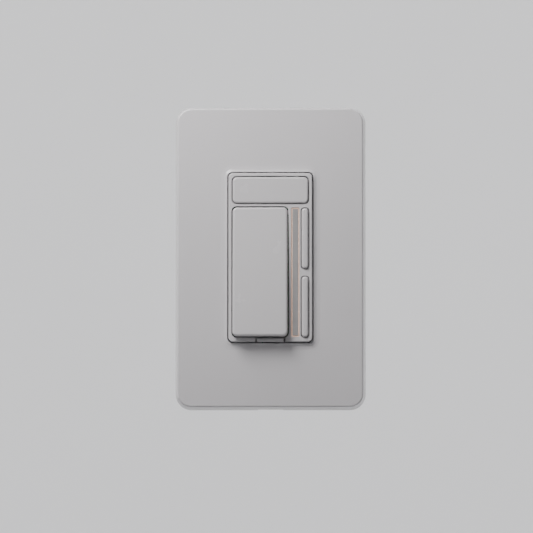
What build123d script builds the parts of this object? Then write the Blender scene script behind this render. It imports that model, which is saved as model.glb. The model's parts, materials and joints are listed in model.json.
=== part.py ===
"""Wall-mounted electronic dimmer switch with a decorator-style front, one gang wide.

The frame: X to the right and Z up as the switch hangs on a wall, the wall's surface at Y = 0 and
the room on the -Y side.  Sizes are in millimetres.  Every sketch is drawn parallel to the wall, on
wall_plane(height), where height is how far it stands out into the room: height = -Y.  The origin
is the middle of the yoke, in the plane where the yoke rests on the wall box.
"""

import math
import os

from build123d import *

# ---------------------------------------------------------------- driving dimensions

# wall plate and the decorator opening in it
PLATE_WIDTH, PLATE_HEIGHT, PLATE_DEPTH = 74.6, 119.1, 6.5
PLATE_CORNER = 6.3  # radius of the plate's corners at the wall
PLATE_DRAFT = 1.0  # each side leans in by this much from the wall to the front
PLATE_SKIN = 2.0
OPENING_WIDTH, OPENING_HEIGHT, OPENING_CORNER = 33.7, 67.1, 2.0
LIP_WIDTH, LIP_RISE = 2.6, 0.4  # the face swells up towards the opening
LIP_PROFILE = ((1.0, 0.0), (0.45, 0.3), (0.12, 1.0))  # shares of the lip's width and of its rise

# standard hole spacings of a one-gang device
BOX_SCREW_Z = 83.34 / 2
PLATE_SCREW_Z = 96.84 / 2
SCREW_RADIUS = 1.75  # number 6 machine screw
SCREW_CLEARANCE = 0.05  # between a screw and the hole it is drawn in
BOX_SCREW_NECK, BOX_SCREW_LENGTH = 1.45, 25.4
BOX_SCREW_HEAD_RADIUS, BOX_SCREW_HEAD_HEIGHT = 3.1, 2.0
RETAINER_HALF, RETAINER_THICKNESS = (4.5, 4.0), 0.8

# yoke, in the plane of the wall
YOKE_THICKNESS = 1.6
YOKE_LENGTH, YOKE_END_WIDTH = 106.0, 44.0
FIN_WIDTH, FIN_HEIGHT = 62.0, 62.0

# front module
FRAME_WIDTH, FRAME_HEIGHT, FRAME_CORNER = 32.8, 66.2, 1.7
FRAME_FRONT = 8.3  # how far its face stands out from the wall
FRAME_SKIN, FRAME_WALL = 1.4, 1.2
FRAME_BACK = YOKE_THICKNESS
GAP = 0.4  # between a moving cap and the edge of its window
KEY_GAP = 0.35
HOOK_Z = (-23.5, 23.5)  # where the frame's hooks go through the yoke

# the caps in the front, each as its edges in x and in z
PADDLE_X, PADDLE_Z = (-14.8, 6.75), (-31.1, 19.6)
SCENE_X, SCENE_Z = (-14.75, 14.85), (21.2, 31.5)
KEY_X = (12.25, 14.9)
RAISE_Z, LOWER_Z = (-4.45, 19.2), (-31.3, -7.6)
LIGHT_X, LIGHT_Z = (8.2, 11.4), (-31.2, 19.5)
TAB_HALF_WIDTH = 5.3

PADDLE_TOP_HEIGHT, PADDLE_FOOT_HEIGHT = 8.85, 12.5
PADDLE_BACK, PADDLE_SKIN = 4.6, 1.4
PADDLE_AXIS_HEIGHT, PADDLE_AXIS_Z = 5.7, 17.8
SCENE_HEIGHT = 8.95
KEY_HEIGHT = 9.4
CAP_FLANGE = (5.9, FRAME_FRONT - FRAME_SKIN - 0.1)  # heights of the rims that hold the caps in
CAP_FLANGE_X, KEY_FLANGE_X = (-15.1, 15.1), (11.75, 15.1)
KEY_CORNER, KEY_BACK = 1.2, 5.5
SCENE_FILLET, KEY_FILLET, CAP_BACK = 0.8, 0.9, 5.6
CAP_POST_RADIUS, KEY_POST_RADIUS = 1.4, 1.1
HINGE_PIN_RADIUS, HINGE_HOLE_RADIUS = 0.9, 0.95

# keypad board, just in front of the yoke
INSULATOR_THICKNESS = 0.2
BOARD_BACK = YOKE_THICKNESS + INSULATOR_THICKNESS
BOARD_FRONT = BOARD_BACK + 1.0
BOARD_X, BOARD_Z = (-15.0, 15.0), (-31.0, 31.7)

# push switches on the keypad board: body height over the board and how far the plunger shows
SWITCH_WIDTH, SWITCH_LENGTH, SWITCH_BODY = 3.0, 4.2, 1.6
SWITCH_WELL, SWITCH_WELL_RADIUS = 1.1, 0.75  # the hole that the plunger slides in
PLUNGER_RADIUS = 0.7
PLUNGER_HEIGHTS = (3.95, 5.0)
PADDLE_SWITCH_AT = (-4.0, PADDLE_AXIS_Z - 20.0)
SCENE_SWITCH_AT = (0.0, 26.5)
RAISE_SWITCH_AT = (13.5, 7.4)
LOWER_SWITCH_AT = (13.5, -19.4)
PADDLE_SPRING_AT = (-4.0, -22.0)

# pins that join the keypad board to the power board
PIN_X, PIN_Z = (1.0, 3.0), (-15.0, -13.0, -11.0, -9.0)
PIN_HALF, PIN_HOLE_RADIUS, PIN_STRIP_MARGIN, PIN_END = 0.3, 0.46, 1.4, -22.0
SOCKET_HEIGHT = 6.0

# housing behind the yoke
HOUSING_WIDTH, HOUSING_HEIGHT, HOUSING_DEPTH = 43.6, 70.6, 31.0
HOUSING_WALL = 1.8
HOUSING_SCREW_AT = (17.6, 31.0)
POCKET_Z, POCKET_HALF, POCKET_FLOOR_X = 14.0, 5.7, 17.6
POCKET_HEIGHTS = (-15.5, -4.5)
POCKET_WALL = 1.4
TERMINAL_HEIGHT = -10.0

POWER_BOARD_FRONT, POWER_BOARD_THICKNESS = -23.0, 1.6

# transistors on the back of the yoke
TRANSISTOR_X, TRANSISTOR_SCREW_Z = (-7.5, 7.5), 13.5
TRANSISTOR_SCREW_RADIUS = 1.25
TRANSISTOR_HEAD_RADIUS, TRANSISTOR_HEAD_HEIGHT = 2.4, 1.6
PAD_THICKNESS = 0.3

# ground tab, folded back from the yoke's left edge
GROUND_TAB_Z, GROUND_TAB_THICKNESS = (-49.0, -39.5), 1.6
GROUND_SCREW_HEIGHT, GROUND_SCREW_Z = -5.0, -44.3

# air-gap switch: the pull tab, its stem and the carrier inside the housing
TAB_Z, TAB_HEIGHTS = (-33.15, -31.7), (6.7, 7.95)
STEM_Z = (-33.1, -32.05)
STEM_HALF_WIDTH, STEM_SLOT_HALF = 3.0, 3.4
CARRIER_Z, CARRIER_HEIGHTS = (-33.1, -27.4), (-13.0, -4.2)
WINDOW_Z, WINDOW_HEIGHTS = (-31.4, -28.4), (-11.0, -5.8)
BRIDGE_Z, BRIDGE_THICKNESS = (-31.0, -28.8), 0.8
CONTACT_X, CONTACT_Z, CONTACT_RADIUS = 6.3, -29.9, 1.2
CONTACT_MEET = -11.6  # height at which the moving and fixed contacts touch

PAST = 1.0  # how far a cut runs past the surface that it opens
NEAR = 0.01  # slack when edges are picked by their place
SIDES = (-1, 1)

os.makedirs("parts", exist_ok=True)


# ---------------------------------------------------------------- helpers


def wall_plane(height):
    """The plane parallel to the wall that stands this far into the room."""
    return Plane.XZ.offset(height)


def side_plane(x, side):
    """A plane square to X, facing right for side 1 and left for side -1."""
    return Plane(origin=(x, 0, 0), x_dir=(0, 0, 1), z_dir=(side, 0, 0))


def middle(span):
    return (span[0] + span[1]) / 2


def length(span):
    return abs(span[1] - span[0])


def grown(span, by):
    return (span[0] - by, span[1] + by)


def around(centre, half):
    return (centre - half, centre + half)


def mirrored(span, side):
    """The same span on the right for side 1 and on the left for side -1."""
    return (side * span[0], side * span[1])


def corners(x, z):
    """The four points at plus and minus x and z."""
    return [(side_x * x, side_z * z) for side_x in SIDES for side_z in SIDES]


def block(x, z, heights, corner=0.0, mode=Mode.ADD):
    """Adds or cuts a block between edges in x, z and height, with its four long edges rounded."""
    with BuildSketch(wall_plane(heights[0])) as outline:
        with Locations((middle(x), middle(z))):
            if corner:
                RectangleRounded(length(x), length(z), corner)
            else:
                Rectangle(length(x), length(z))
    extrude(to_extrude=outline.sketch, amount=heights[1] - heights[0], mode=mode)


def post(x, z, heights, radius, mode=Mode.ADD):
    """Adds or cuts a round post that stands square to the wall."""
    with BuildSketch(wall_plane(heights[0])) as outline:
        with Locations((x, z)):
            Circle(radius)
    extrude(to_extrude=outline.sketch, amount=heights[1] - heights[0], mode=mode)


DRIVE_LENGTH, DRIVE_WIDTH, DRIVE_FLOOR, CROWN = 1.2, 0.26, 0.45, 0.4  # shares of the head's size


def screw(seat, head_radius, head_height, shank_radius, shank_length):
    """A screw with its head on the plane seat, its shank going back from it and a cross drive."""
    with BuildSketch(seat) as head:
        Circle(head_radius)
    extrude(to_extrude=head.sketch, amount=head_height)
    crown = faces().sort_by_distance(seat.origin + seat.z_dir * head_height)[0]
    fillet(crown.edges(), head_height * CROWN)
    with BuildSketch(seat) as shank:
        Circle(shank_radius)
    extrude(to_extrude=shank.sketch, amount=-shank_length)
    with BuildSketch(seat.offset(head_height * DRIVE_FLOOR)) as drive:
        Rectangle(head_radius * DRIVE_LENGTH, head_radius * DRIVE_WIDTH)
        Rectangle(head_radius * DRIVE_WIDTH, head_radius * DRIVE_LENGTH)
    extrude(to_extrude=drive.sketch, amount=head_height, mode=Mode.SUBTRACT)


def facing_room(x, height, z):
    return Plane(origin=(x, -height, z), x_dir=(1, 0, 0), z_dir=(0, -1, 0))


def facing_wall(x, height, z):
    return Plane(origin=(x, -height, z), x_dir=(1, 0, 0), z_dir=(0, 1, 0))


def bore_sideways(x, z, height, radius):
    """Cuts a round hole along X between two x values."""
    with BuildSketch(side_plane(x[0], 1)) as outline:
        with Locations((z, height)):
            Circle(radius)
    extrude(to_extrude=outline.sketch, amount=x[1] - x[0], mode=Mode.SUBTRACT)


def coil_spring(base, radius, wire, free_length, turns):
    """A round-wire compression spring standing on the plane base."""
    with BuildLine(base) as path:
        Helix(
            pitch=(free_length - 2 * wire) / turns,
            height=free_length - 2 * wire,
            radius=radius,
            center=(0, 0, wire),
            direction=base.z_dir,
        )
    start = Plane(origin=path.line @ 0, z_dir=path.line % 0)
    with BuildSketch(start) as section:
        Circle(wire)
    sweep(sections=section.sketch, path=path.line, is_frenet=True)


def save(piece, name):
    piece.part.label = name
    export_step(piece.part, f"parts/{name}.step")


# ---------------------------------------------------------------- wall plate and its adapter

draft_angle = math.degrees(math.atan(PLATE_DRAFT / PLATE_DEPTH))
plate_face = PLATE_DEPTH - PLATE_SKIN
PLATE_EDGE_FILLET, OPENING_EDGE_FILLET = 0.7, 0.25
CATCH_Z, CATCH_HALF = (-38.0, 0.0, 38.0), 5.0
CATCH_X, CATCH_HEIGHTS = (34.2, 35.8), (0.8, 2.0)
PLATE_RIB_X, PLATE_RIB_HALF = (-24.0, 24.0), 0.5
PLATE_RIB_Z, PLATE_RIB_BACK = (36.0, 56.0), 3.4
PRISING_NOTCH_HALF, PRISING_NOTCH_DEPTH = 5.0, 1.0


def make_wall_plate():
    """Clip-on cover: a drafted shell with a swollen lip round the decorator opening."""
    with BuildPart() as wall_plate:
        with BuildSketch(wall_plane(0)):
            RectangleRounded(PLATE_WIDTH, PLATE_HEIGHT, PLATE_CORNER)
        extrude(amount=PLATE_DEPTH, taper=draft_angle)
        front = wall_plate.faces().sort_by(Axis.Y)[0]
        fillet(front.edges(), PLATE_EDGE_FILLET)
        # the cavity behind, open to the wall
        with BuildSketch(wall_plane(0)):
            RectangleRounded(
                PLATE_WIDTH - 2 * PLATE_SKIN, PLATE_HEIGHT - 2 * PLATE_SKIN, PLATE_CORNER - PLATE_SKIN
            )
        extrude(amount=plate_face, taper=draft_angle, mode=Mode.SUBTRACT)
        # the lip: two bands, the inner one steeper
        for band in zip(LIP_PROFILE, LIP_PROFILE[1:]):
            for width_share, rise_share in band:
                margin = LIP_WIDTH * width_share
                with BuildSketch(wall_plane(PLATE_DEPTH + LIP_RISE * rise_share)):
                    RectangleRounded(
                        OPENING_WIDTH + 2 * margin, OPENING_HEIGHT + 2 * margin, OPENING_CORNER + margin
                    )
            loft(ruled=True)
        with BuildSketch(wall_plane(0)):
            RectangleRounded(OPENING_WIDTH, OPENING_HEIGHT, OPENING_CORNER)
        extrude(amount=PLATE_DEPTH + LIP_RISE + PAST, mode=Mode.SUBTRACT)
        top_height = PLATE_DEPTH + LIP_RISE
        inner_rim = (
            wall_plate.edges()
            .filter_by_position(Axis.Y, *around(-top_height, NEAR))
            .filter_by_position(Axis.X, *around(0, OPENING_WIDTH / 2 + NEAR))
            .filter_by_position(Axis.Z, *around(0, OPENING_HEIGHT / 2 + NEAR))
        )
        fillet(inner_rim, OPENING_EDGE_FILLET)
        # ridges that catch behind the adapter's hooks
        for side in SIDES:
            for z in CATCH_Z:
                block(mirrored(CATCH_X, side), around(z, CATCH_HALF), CATCH_HEIGHTS)
        # stiffening ribs under the face, above and below the opening
        for side in SIDES:
            for x in PLATE_RIB_X:
                rib_x = around(x, PLATE_RIB_HALF)
                block(rib_x, mirrored(PLATE_RIB_Z, side), (PLATE_RIB_BACK, plate_face))
        # notch in the lower rim, for prising the plate off
        notch_z = (-PLATE_HEIGHT / 2 - PAST, -PLATE_HEIGHT / 2 + PLATE_SKIN + 0.5)
        block(around(0, PRISING_NOTCH_HALF), notch_z, (0, PRISING_NOTCH_DEPTH), mode=Mode.SUBTRACT)
    save(wall_plate, "wall_plate")


ADAPTER_HALF, ADAPTER_CORNER, ADAPTER_THICKNESS = (34.0, 56.2), 4.0, 1.6
ADAPTER_FRONT = YOKE_THICKNESS + ADAPTER_THICKNESS
ADAPTER_OPENING_HALF, ADAPTER_OPENING_CORNER = (16.9, 33.6), 2.0
HEAD_SLOT_HALF, HEAD_SLOT_CORNER = (6.0, 3.35), 2.5
ADAPTER_HOOK_X, ADAPTER_HOOK_HALF, ADAPTER_HOOK_BACK = (33.5, 34.6), 4.0, YOKE_THICKNESS + 0.5
SLIT_X, SLIT_HALF = (31.2, 32.2), 7.0
LIGHTENING_X, LIGHTENING_Z, LIGHTENING_HALF = (-22.0, 22.0), (40.0, 50.0), 6.0
SINK_HOLE_RADIUS, SINK_RADIUS = 2.0, 3.15
OVAL_HEAD_RADIUS, OVAL_HEAD_SUNK, OVAL_HEAD_DOME = 3.0, 1.15, 0.45
OVAL_SLOT_HALF, OVAL_SLOT_DEPTH = (1.9, 0.35), 0.5
ADAPTER_SCREW_END = -4.0


def make_adapter_plate():
    """Sub-plate screwed to the yoke: the wall plate clips over its hooks."""
    heights = (YOKE_THICKNESS, ADAPTER_FRONT)
    with BuildPart() as adapter_plate:
        block(around(0, ADAPTER_HALF[0]), around(0, ADAPTER_HALF[1]), heights, corner=ADAPTER_CORNER)
        opening_x, opening_z = (around(0, half) for half in ADAPTER_OPENING_HALF)
        block(opening_x, opening_z, heights, corner=ADAPTER_OPENING_CORNER, mode=Mode.SUBTRACT)
        for z in (-BOX_SCREW_Z, BOX_SCREW_Z):
            slot_x, slot_z = around(0, HEAD_SLOT_HALF[0]), around(z, HEAD_SLOT_HALF[1])
            block(slot_x, slot_z, heights, corner=HEAD_SLOT_CORNER, mode=Mode.SUBTRACT)
        with Locations(wall_plane(ADAPTER_FRONT)):
            with Locations((0, PLATE_SCREW_Z), (0, -PLATE_SCREW_Z)):
                CounterSinkHole(SINK_HOLE_RADIUS, SINK_RADIUS, counter_sink_angle=90)
        # hooks on the long sides, each on a tongue freed by a slit
        for side in SIDES:
            for z in CATCH_Z:
                hook_z = around(z, ADAPTER_HOOK_HALF)
                block(mirrored(ADAPTER_HOOK_X, side), hook_z, (ADAPTER_HOOK_BACK, ADAPTER_FRONT))
                block(mirrored(SLIT_X, side), around(z, SLIT_HALF), heights, mode=Mode.SUBTRACT)
        # lightening slots above and below
        for side in SIDES:
            for x in LIGHTENING_X:
                slot_x, slot_z = around(x, LIGHTENING_HALF), mirrored(LIGHTENING_Z, side)
                block(slot_x, slot_z, heights, corner=2, mode=Mode.SUBTRACT)
    save(adapter_plate, "adapter_plate")


def make_adapter_screws():
    """Two oval-head screws that hold the adapter to the yoke."""
    neck_height, dome_height = ADAPTER_FRONT - OVAL_HEAD_SUNK, ADAPTER_FRONT + OVAL_HEAD_DOME
    with BuildPart() as adapter_screws:
        for z in (-PLATE_SCREW_Z, PLATE_SCREW_Z):
            with BuildSketch(wall_plane(neck_height)) as neck:
                with Locations((0, z)):
                    Circle(SCREW_RADIUS + SCREW_CLEARANCE)
            with BuildSketch(wall_plane(ADAPTER_FRONT)) as brim:
                with Locations((0, z)):
                    Circle(OVAL_HEAD_RADIUS)
            loft(sections=[neck.sketch, brim.sketch])
            post(0, z, (ADAPTER_FRONT, dome_height), OVAL_HEAD_RADIUS)
            head_z = around(z, OVAL_HEAD_RADIUS + 0.1)
            dome = faces().filter_by_position(Axis.Z, *head_z).sort_by(Axis.Y)[0]
            fillet(dome.edges(), OVAL_HEAD_DOME * 0.78)
            post(0, z, (neck_height, ADAPTER_SCREW_END), SCREW_RADIUS)
            slot_x, slot_z = around(0, OVAL_SLOT_HALF[0]), around(z, OVAL_SLOT_HALF[1])
            block(slot_x, slot_z, (ADAPTER_FRONT - OVAL_SLOT_DEPTH, dome_height + 0.1), mode=Mode.SUBTRACT)
    save(adapter_screws, "adapter_screws")


# ---------------------------------------------------------------- yoke and what holds it

pin_window = (grown((PIN_X[0], PIN_X[-1]), 2.0), grown((PIN_Z[0], PIN_Z[-1]), 2.0))
ground_tab_x = (-YOKE_END_WIDTH / 2, -YOKE_END_WIDTH / 2 + GROUND_TAB_THICKNESS)


YOKE_CORNER, FIN_CORNER = 4.0, 3.0
SCORE_X, SCORE_DEPTH = (24.0, 24.5), 0.7
BOX_SLOT_LENGTH, BOX_SLOT_WIDTH = 7.6, 4.0
EAR_NOTCH_X, EAR_NOTCH_Z = (9.6, 11.0), (46.0, 54.0)
EAR_HOLE_AT, EAR_HOLE_RADIUS = (15.2, 48.4), 2.3
STEM_WINDOW_Z = (-33.5, -31.4)
HOOK_WINDOW_X, HOOK_WINDOW_HALF = (14.3, 16.3), 3.4
HOUSING_SCREW_HOLE = 1.25
GROUND_TAB_BACK = -9.5
GROUND_HEAD_RADIUS, GROUND_HEAD_HEIGHT, GROUND_SCREW_LENGTH = 3.3, 2.2, 6.0


def make_yoke():
    """Aluminium mounting strap that is also the heat sink, with break-off side fins."""
    heights = (0, YOKE_THICKNESS)
    with BuildPart() as yoke:
        block(around(0, YOKE_END_WIDTH / 2), around(0, YOKE_LENGTH / 2), heights, corner=YOKE_CORNER)
        block(around(0, FIN_WIDTH / 2), around(0, FIN_HEIGHT / 2), heights, corner=FIN_CORNER)
        # score lines where the fins snap off
        for side in SIDES:
            score_z = around(0, FIN_HEIGHT / 2 + PAST)
            score_heights = (YOKE_THICKNESS - SCORE_DEPTH, YOKE_THICKNESS + PAST)
            block(mirrored(SCORE_X, side), score_z, score_heights, mode=Mode.SUBTRACT)
        # slots for the box screws and tapped holes for the adapter screws
        with BuildSketch(wall_plane(0)):
            with Locations((0, BOX_SCREW_Z), (0, -BOX_SCREW_Z)):
                SlotOverall(BOX_SLOT_LENGTH, BOX_SLOT_WIDTH)
        extrude(amount=YOKE_THICKNESS, mode=Mode.SUBTRACT)
        for z in (-PLATE_SCREW_Z, PLATE_SCREW_Z):
            post(0, z, heights, SCREW_RADIUS + SCREW_CLEARANCE, mode=Mode.SUBTRACT)
        # notches that let the plaster ears snap off, and the hole in each ear
        for side_x, side_z in corners(1, 1):
            block(mirrored(EAR_NOTCH_X, side_x), mirrored(EAR_NOTCH_Z, side_z), heights, mode=Mode.SUBTRACT)
        for x, z in corners(*EAR_HOLE_AT):
            post(x, z, heights, EAR_HOLE_RADIUS, mode=Mode.SUBTRACT)
        # windows: board pins, air-gap stem, frame hooks, housing and transistor screws
        block(*pin_window, heights, corner=1, mode=Mode.SUBTRACT)
        block(around(0, STEM_SLOT_HALF), STEM_WINDOW_Z, heights, mode=Mode.SUBTRACT)
        for side in SIDES:
            for z in HOOK_Z:
                hook_x, hook_z = mirrored(HOOK_WINDOW_X, side), around(z, HOOK_WINDOW_HALF)
                block(hook_x, hook_z, heights, mode=Mode.SUBTRACT)
        for x, z in corners(*HOUSING_SCREW_AT):
            post(x, z, heights, HOUSING_SCREW_HOLE, mode=Mode.SUBTRACT)
        for x in TRANSISTOR_X:
            hole_radius = TRANSISTOR_SCREW_RADIUS + SCREW_CLEARANCE
            post(x, TRANSISTOR_SCREW_Z, heights, hole_radius, mode=Mode.SUBTRACT)
        # the ground tab, folded back from the lower left edge
        block(ground_tab_x, GROUND_TAB_Z, (GROUND_TAB_BACK, YOKE_THICKNESS))
        bore_sideways(ground_tab_x, GROUND_SCREW_Z, GROUND_SCREW_HEIGHT, SCREW_RADIUS + SCREW_CLEARANCE)
    save(yoke, "yoke")


def make_box_screws():
    """The two long screws that fasten the yoke to the wall box, each with a neck for its retainer."""
    shank = (YOKE_THICKNESS - BOX_SCREW_LENGTH, -RETAINER_THICKNESS - 0.3)
    with BuildPart() as box_screws:
        for z in (-BOX_SCREW_Z, BOX_SCREW_Z):
            seat = facing_room(0, YOKE_THICKNESS, z)
            neck_length = YOKE_THICKNESS - shank[1] + 0.4
            screw(seat, BOX_SCREW_HEAD_RADIUS, BOX_SCREW_HEAD_HEIGHT, BOX_SCREW_NECK, neck_length)
            post(0, z, shank, SCREW_RADIUS)
    save(box_screws, "box_screws")


def make_screw_retainers():
    """Fibre squares that keep the box screws in the yoke until it is fitted."""
    heights = (-RETAINER_THICKNESS, 0)
    with BuildPart() as screw_retainers:
        for z in (-BOX_SCREW_Z, BOX_SCREW_Z):
            block(around(0, RETAINER_HALF[0]), around(z, RETAINER_HALF[1]), heights, corner=0.8)
            post(0, z, heights, BOX_SCREW_NECK + SCREW_CLEARANCE, mode=Mode.SUBTRACT)
    save(screw_retainers, "screw_retainers")


def make_ground_screw():
    """Green ground screw in the yoke's folded tab."""
    seat = Plane(
        origin=(ground_tab_x[0], -GROUND_SCREW_HEIGHT, GROUND_SCREW_Z), x_dir=(0, 0, 1), z_dir=(-1, 0, 0)
    )
    with BuildPart() as ground_screw:
        screw(seat, GROUND_HEAD_RADIUS, GROUND_HEAD_HEIGHT, SCREW_RADIUS, GROUND_SCREW_LENGTH)
    save(ground_screw, "ground_screw")


# ---------------------------------------------------------------- front frame

frame_inner_x = (-FRAME_WIDTH / 2 + FRAME_WALL, FRAME_WIDTH / 2 - FRAME_WALL)
frame_inner_z = (-FRAME_HEIGHT / 2 + FRAME_WALL, FRAME_HEIGHT / 2 - FRAME_WALL)
frame_skin_back = FRAME_FRONT - FRAME_SKIN


FRAME_EDGE_FILLET, WINDOW_FILLET = 0.45, 0.18
CAP_WINDOW_CORNER, KEY_WINDOW_CORNER, LIGHT_WINDOW_CORNER = 2.0, 1.4, 0.5
BEARING_X, BEARING_HALF = (7.15, 8.05), 2.0
TAB_GAP, TAB_SLIT_BACK = 0.6, 3.0
FRAME_HOOK_HALF, FRAME_HOOK_BACK, FRAME_HOOK_OUT, BARB_X = 3.0, -1.3, 16.2, (13.6, 15.3)


def make_front_frame():
    """Frame round the paddle, keys and light bar, hooked through the yoke."""
    skin = (frame_skin_back, FRAME_FRONT)
    frame_x, frame_z = around(0, FRAME_WIDTH / 2), around(0, FRAME_HEIGHT / 2)
    with BuildPart() as front_frame:
        block(frame_x, frame_z, (FRAME_BACK, FRAME_FRONT), corner=FRAME_CORNER)
        fillet(front_frame.faces().sort_by(Axis.Y)[0].edges(), FRAME_EDGE_FILLET)
        block(frame_inner_x, frame_inner_z, (FRAME_BACK, frame_skin_back), mode=Mode.SUBTRACT)
        # windows for the caps and the light bar
        scene_window_z = (SCENE_Z[0] - GAP, frame_inner_z[1])
        block(grown(SCENE_X, GAP), scene_window_z, skin, corner=CAP_WINDOW_CORNER, mode=Mode.SUBTRACT)
        paddle_window = (grown(PADDLE_X, GAP), grown(PADDLE_Z, GAP))
        block(*paddle_window, skin, corner=CAP_WINDOW_CORNER, mode=Mode.SUBTRACT)
        block(LIGHT_X, LIGHT_Z, skin, corner=LIGHT_WINDOW_CORNER, mode=Mode.SUBTRACT)
        for key_z in (RAISE_Z, LOWER_Z):
            key_window = (grown(KEY_X, KEY_GAP), grown(key_z, KEY_GAP))
            block(*key_window, skin, corner=KEY_WINDOW_CORNER, mode=Mode.SUBTRACT)
        rims = (
            front_frame.edges()
            .filter_by_position(Axis.Y, *around(-FRAME_FRONT, NEAR))
            .filter_by_position(Axis.X, *grown(frame_inner_x, 0.25))
            .filter_by_position(Axis.Z, *grown(frame_inner_z, 0.2))
        )
        fillet(rims, WINDOW_FILLET)
        # bearing block for the paddle's right pin, and the holes for both pins
        block(BEARING_X, around(PADDLE_AXIS_Z, BEARING_HALF), (BOARD_FRONT + 0.2, frame_skin_back))
        for bore_x in ((-FRAME_WIDTH / 2 + 0.3, frame_inner_x[0]), grown(BEARING_X, 0.05)):
            bore_sideways(bore_x, PADDLE_AXIS_Z, PADDLE_AXIS_HEIGHT, HINGE_HOLE_RADIUS)
        # notch for the pull tab and slot for its stem
        notch_z = (-FRAME_HEIGHT / 2 - PAST, PADDLE_Z[0] - GAP + 0.5)
        notch_heights = (TAB_HEIGHTS[0] - 0.1, FRAME_FRONT + PAST)
        block(around(0, TAB_HALF_WIDTH + TAB_GAP), notch_z, notch_heights, mode=Mode.SUBTRACT)
        slit_x = (TAB_HALF_WIDTH, TAB_HALF_WIDTH + TAB_GAP)
        slit_z = (notch_z[0], PADDLE_Z[0] - GAP - 0.5)
        slit_heights = (TAB_SLIT_BACK, TAB_HEIGHTS[0])
        for side in SIDES:
            block(mirrored(slit_x, side), slit_z, slit_heights, mode=Mode.SUBTRACT)
        slot_z = (notch_z[0], frame_inner_z[0] + 0.1)
        block(around(0, STEM_SLOT_HALF), slot_z, (FRAME_BACK, frame_skin_back), mode=Mode.SUBTRACT)
        # hooks behind the yoke
        for side in SIDES:
            for z in HOOK_Z:
                hook_z = around(z, FRAME_HOOK_HALF)
                hook_x = (frame_inner_x[1], FRAME_HOOK_OUT)
                block(mirrored(hook_x, side), hook_z, (FRAME_HOOK_BACK, FRAME_BACK))
                block(mirrored(BARB_X, side), hook_z, (FRAME_HOOK_BACK, -0.1))
    save(front_frame, "front_frame")


# ---------------------------------------------------------------- paddle and keys

paddle_slope = (PADDLE_FOOT_HEIGHT - PADDLE_TOP_HEIGHT) / length(PADDLE_Z)


def paddle_front(z):
    """Height of the paddle's face at this z."""
    return PADDLE_TOP_HEIGHT + (PADDLE_Z[1] - z) * paddle_slope


PADDLE_CORNER, PADDLE_EDGE_FILLET = 1.7, 0.95
PADDLE_RIB_Z, PADDLE_RIB_HALF, PADDLE_RIB_BACK = (-12.0, 8.0), 0.5, 7.0
SPRING_SEAT_RADIUS, SPRING_SEAT_HEIGHT = 2.4, 9.0
SPRING_RADIUS, SPRING_WIRE, SPRING_TURNS = 1.8, 0.22, 6
PIN_REACH = 1.6


def make_paddle():
    """Large rocker pad, hinged near its top and open at the back."""
    inner_z = grown(PADDLE_Z, -PADDLE_SKIN)
    with BuildPart() as paddle:
        with BuildSketch(side_plane(PADDLE_X[0], 1)):
            Polygon(
                (PADDLE_Z[0], PADDLE_BACK),
                (PADDLE_Z[0], PADDLE_FOOT_HEIGHT),
                (PADDLE_Z[1], PADDLE_TOP_HEIGHT),
                (PADDLE_Z[1], PADDLE_BACK),
                align=None,
            )
        extrude(amount=length(PADDLE_X))
        fillet(paddle.edges().filter_by(Axis.Y), PADDLE_CORNER)
        fillet(paddle.faces().sort_by(Axis.Y)[0].edges(), PADDLE_EDGE_FILLET)
        with BuildSketch(side_plane(PADDLE_X[0] + PADDLE_SKIN, 1)):
            Polygon(
                (inner_z[0], PADDLE_BACK),
                (inner_z[0], paddle_front(inner_z[0]) - PADDLE_SKIN),
                (inner_z[1], paddle_front(inner_z[1]) - PADDLE_SKIN),
                (inner_z[1], PADDLE_BACK),
                align=None,
            )
        extrude(amount=length(PADDLE_X) - 2 * PADDLE_SKIN, mode=Mode.SUBTRACT)
        # post over the switch, seat for the spring, and two stiffening ribs
        x, z = PADDLE_SWITCH_AT
        post(x, z, (PLUNGER_HEIGHTS[1] + 0.05, paddle_front(z) - 1), CAP_POST_RADIUS)
        x, z = PADDLE_SPRING_AT
        post(x, z, (SPRING_SEAT_HEIGHT, paddle_front(z) - 1), SPRING_SEAT_RADIUS)
        for z in PADDLE_RIB_Z:
            rib_heights = (PADDLE_RIB_BACK, paddle_front(z) - 1)
            block(grown(PADDLE_X, -1), around(z, PADDLE_RIB_HALF), rib_heights)
        # hinge pins
        for pin_x, reach in ((PADDLE_X[0] + 0.5, -PIN_REACH), (PADDLE_X[1] - 0.5, PIN_REACH)):
            with BuildSketch(side_plane(pin_x, 1)) as pin:
                with Locations((PADDLE_AXIS_Z, PADDLE_AXIS_HEIGHT)):
                    Circle(HINGE_PIN_RADIUS)
            extrude(to_extrude=pin.sketch, amount=reach)
    save(paddle, "paddle")


def make_paddle_spring():
    """Return spring between the keypad board and the paddle."""
    x, z = PADDLE_SPRING_AT
    with BuildPart() as paddle_spring:
        free_length = SPRING_SEAT_HEIGHT - BOARD_FRONT
        coil_spring(facing_room(x, BOARD_FRONT, z), SPRING_RADIUS, SPRING_WIRE, free_length, SPRING_TURNS)
    save(paddle_spring, "paddle_spring")


def make_scene_button():
    """Wide button above the paddle."""
    with BuildPart() as scene_button:
        block(SCENE_X, SCENE_Z, (CAP_BACK, SCENE_HEIGHT), corner=PADDLE_CORNER)
        fillet(scene_button.faces().sort_by(Axis.Y)[0].edges(), SCENE_FILLET)
        block(CAP_FLANGE_X, (SCENE_Z[0] - 0.9, frame_inner_z[1] - 0.1), CAP_FLANGE)
        hollow = (grown(SCENE_X, -PADDLE_SKIN), grown(SCENE_Z, -PADDLE_SKIN))
        block(*hollow, (CAP_BACK, SCENE_HEIGHT - PADDLE_SKIN), mode=Mode.SUBTRACT)
        post(*SCENE_SWITCH_AT, (PLUNGER_HEIGHTS[1], SCENE_HEIGHT - 1), CAP_POST_RADIUS)
    save(scene_button, "scene_button")


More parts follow.
